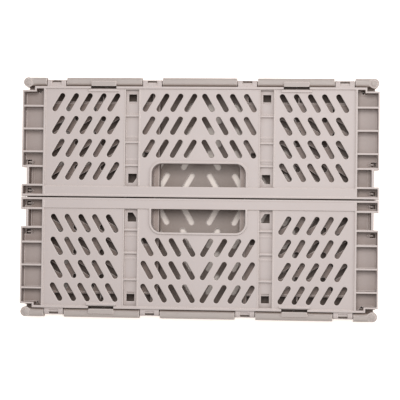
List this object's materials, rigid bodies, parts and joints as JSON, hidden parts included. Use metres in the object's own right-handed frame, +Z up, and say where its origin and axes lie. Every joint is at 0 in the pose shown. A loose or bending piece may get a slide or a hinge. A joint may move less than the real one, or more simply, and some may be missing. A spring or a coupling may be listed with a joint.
{
  "type": "collapsible storage crate",
  "caption": "Folded-flat slotted plastic crate: an open base tray with hinged side walls that have hand holes and ribbed end columns.",
  "frame": {"origin": "centre of the base's underside", "axes": "+X along the long walls, +Y from the front wall's hinge towards the back wall's hinge, +Z up"},
  "size_m": [0.2496, 0.1686, 0.0259],
  "materials": {
    "base_plastic": "fine satin moulded polypropylene",
    "wall_plastic": "fine satin moulded polypropylene",
    "rod_plastic": "smooth moulded polypropylene"
  },
  "bodies": {
    "base": {"base_tray": "base_plastic", "left_end_wall": "wall_plastic", "right_end_wall": "wall_plastic", "front_hinge_rod": "rod_plastic", "back_hinge_rod": "rod_plastic", "left_hinge_rod": "rod_plastic", "right_hinge_rod": "rod_plastic"},
    "front_wall": {"front_long_wall": "wall_plastic"},
    "back_wall": {"back_long_wall": "wall_plastic"}
  },
  "joints": [
    {"name": "front_wall_fold", "type": "hinge", "parent": "base", "child": "front_wall", "pos_m": [0, -0.0803, 0.0219], "axis": [1, 0, 0], "range_deg": [0, 90]},
    {"name": "back_wall_fold", "type": "hinge", "parent": "base", "child": "back_wall", "pos_m": [0, 0.0803, 0.0219], "axis": [-1, 0, 0], "range_deg": [0, 90]}
  ]
}
